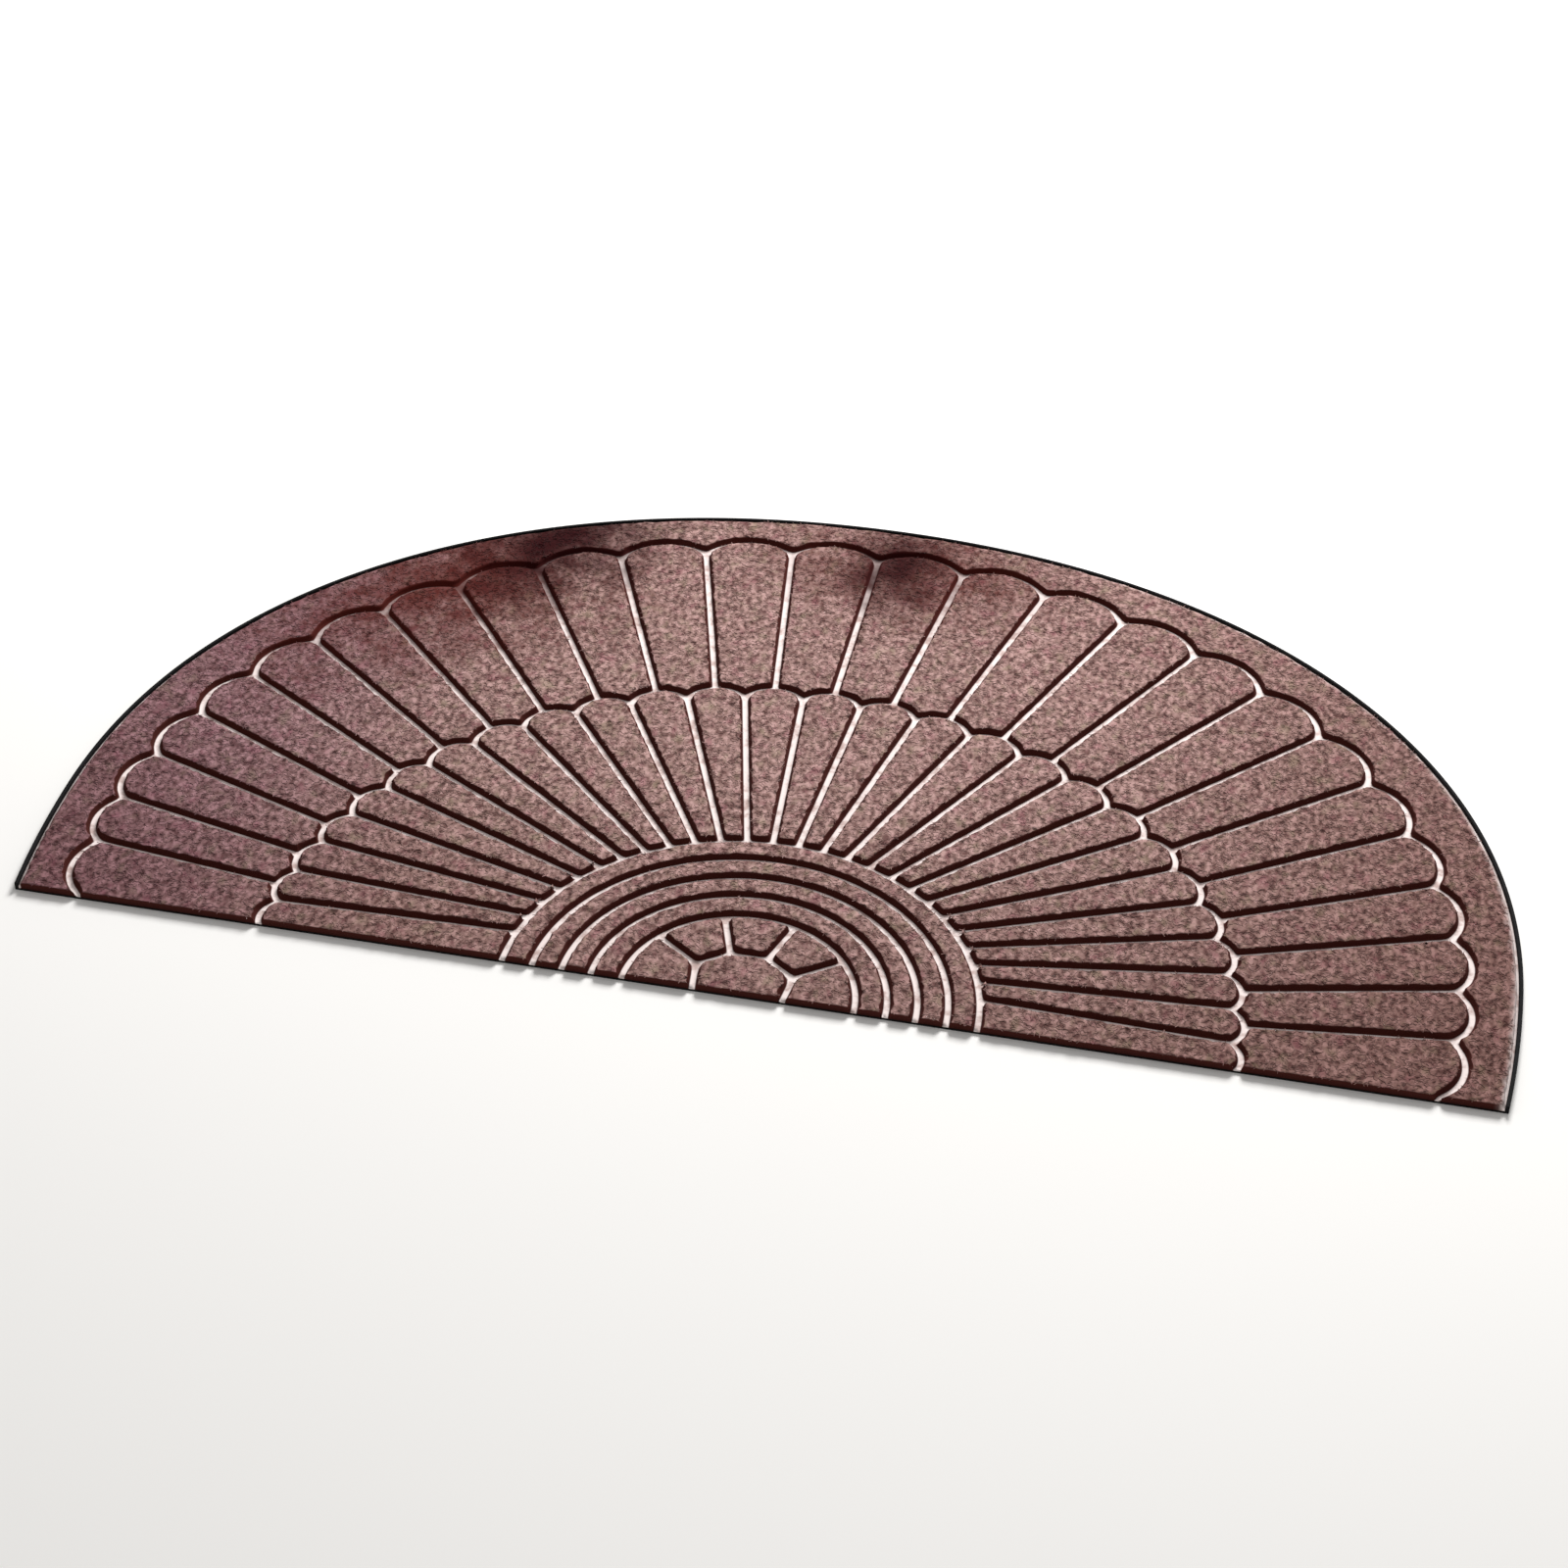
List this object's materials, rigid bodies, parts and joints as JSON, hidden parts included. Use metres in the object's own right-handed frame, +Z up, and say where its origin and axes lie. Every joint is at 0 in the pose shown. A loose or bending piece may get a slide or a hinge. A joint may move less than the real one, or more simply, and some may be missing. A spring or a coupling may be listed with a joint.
{
  "type": "half round doormat",
  "caption": "Half round felt doormat with a fan of pressed grooves and a rubber backing with a raised edge, lying flat with its straight edge at the front.",
  "frame": {"origin": "on the floor, under the middle of the mat's bounding box", "axes": "+X along the straight edge to the right, +Y from the straight edge towards the arc, +Z up"},
  "size_m": [0.9, 0.5, 0.0057],
  "materials": {
    "rubber": "matt black",
    "pile": "speckled mauve brown punched felt, with pale pressed grooves"
  },
  "bodies": {
    "root": {"rubber_backing": "rubber", "pile_face": "pile"}
  },
  "joints": []
}
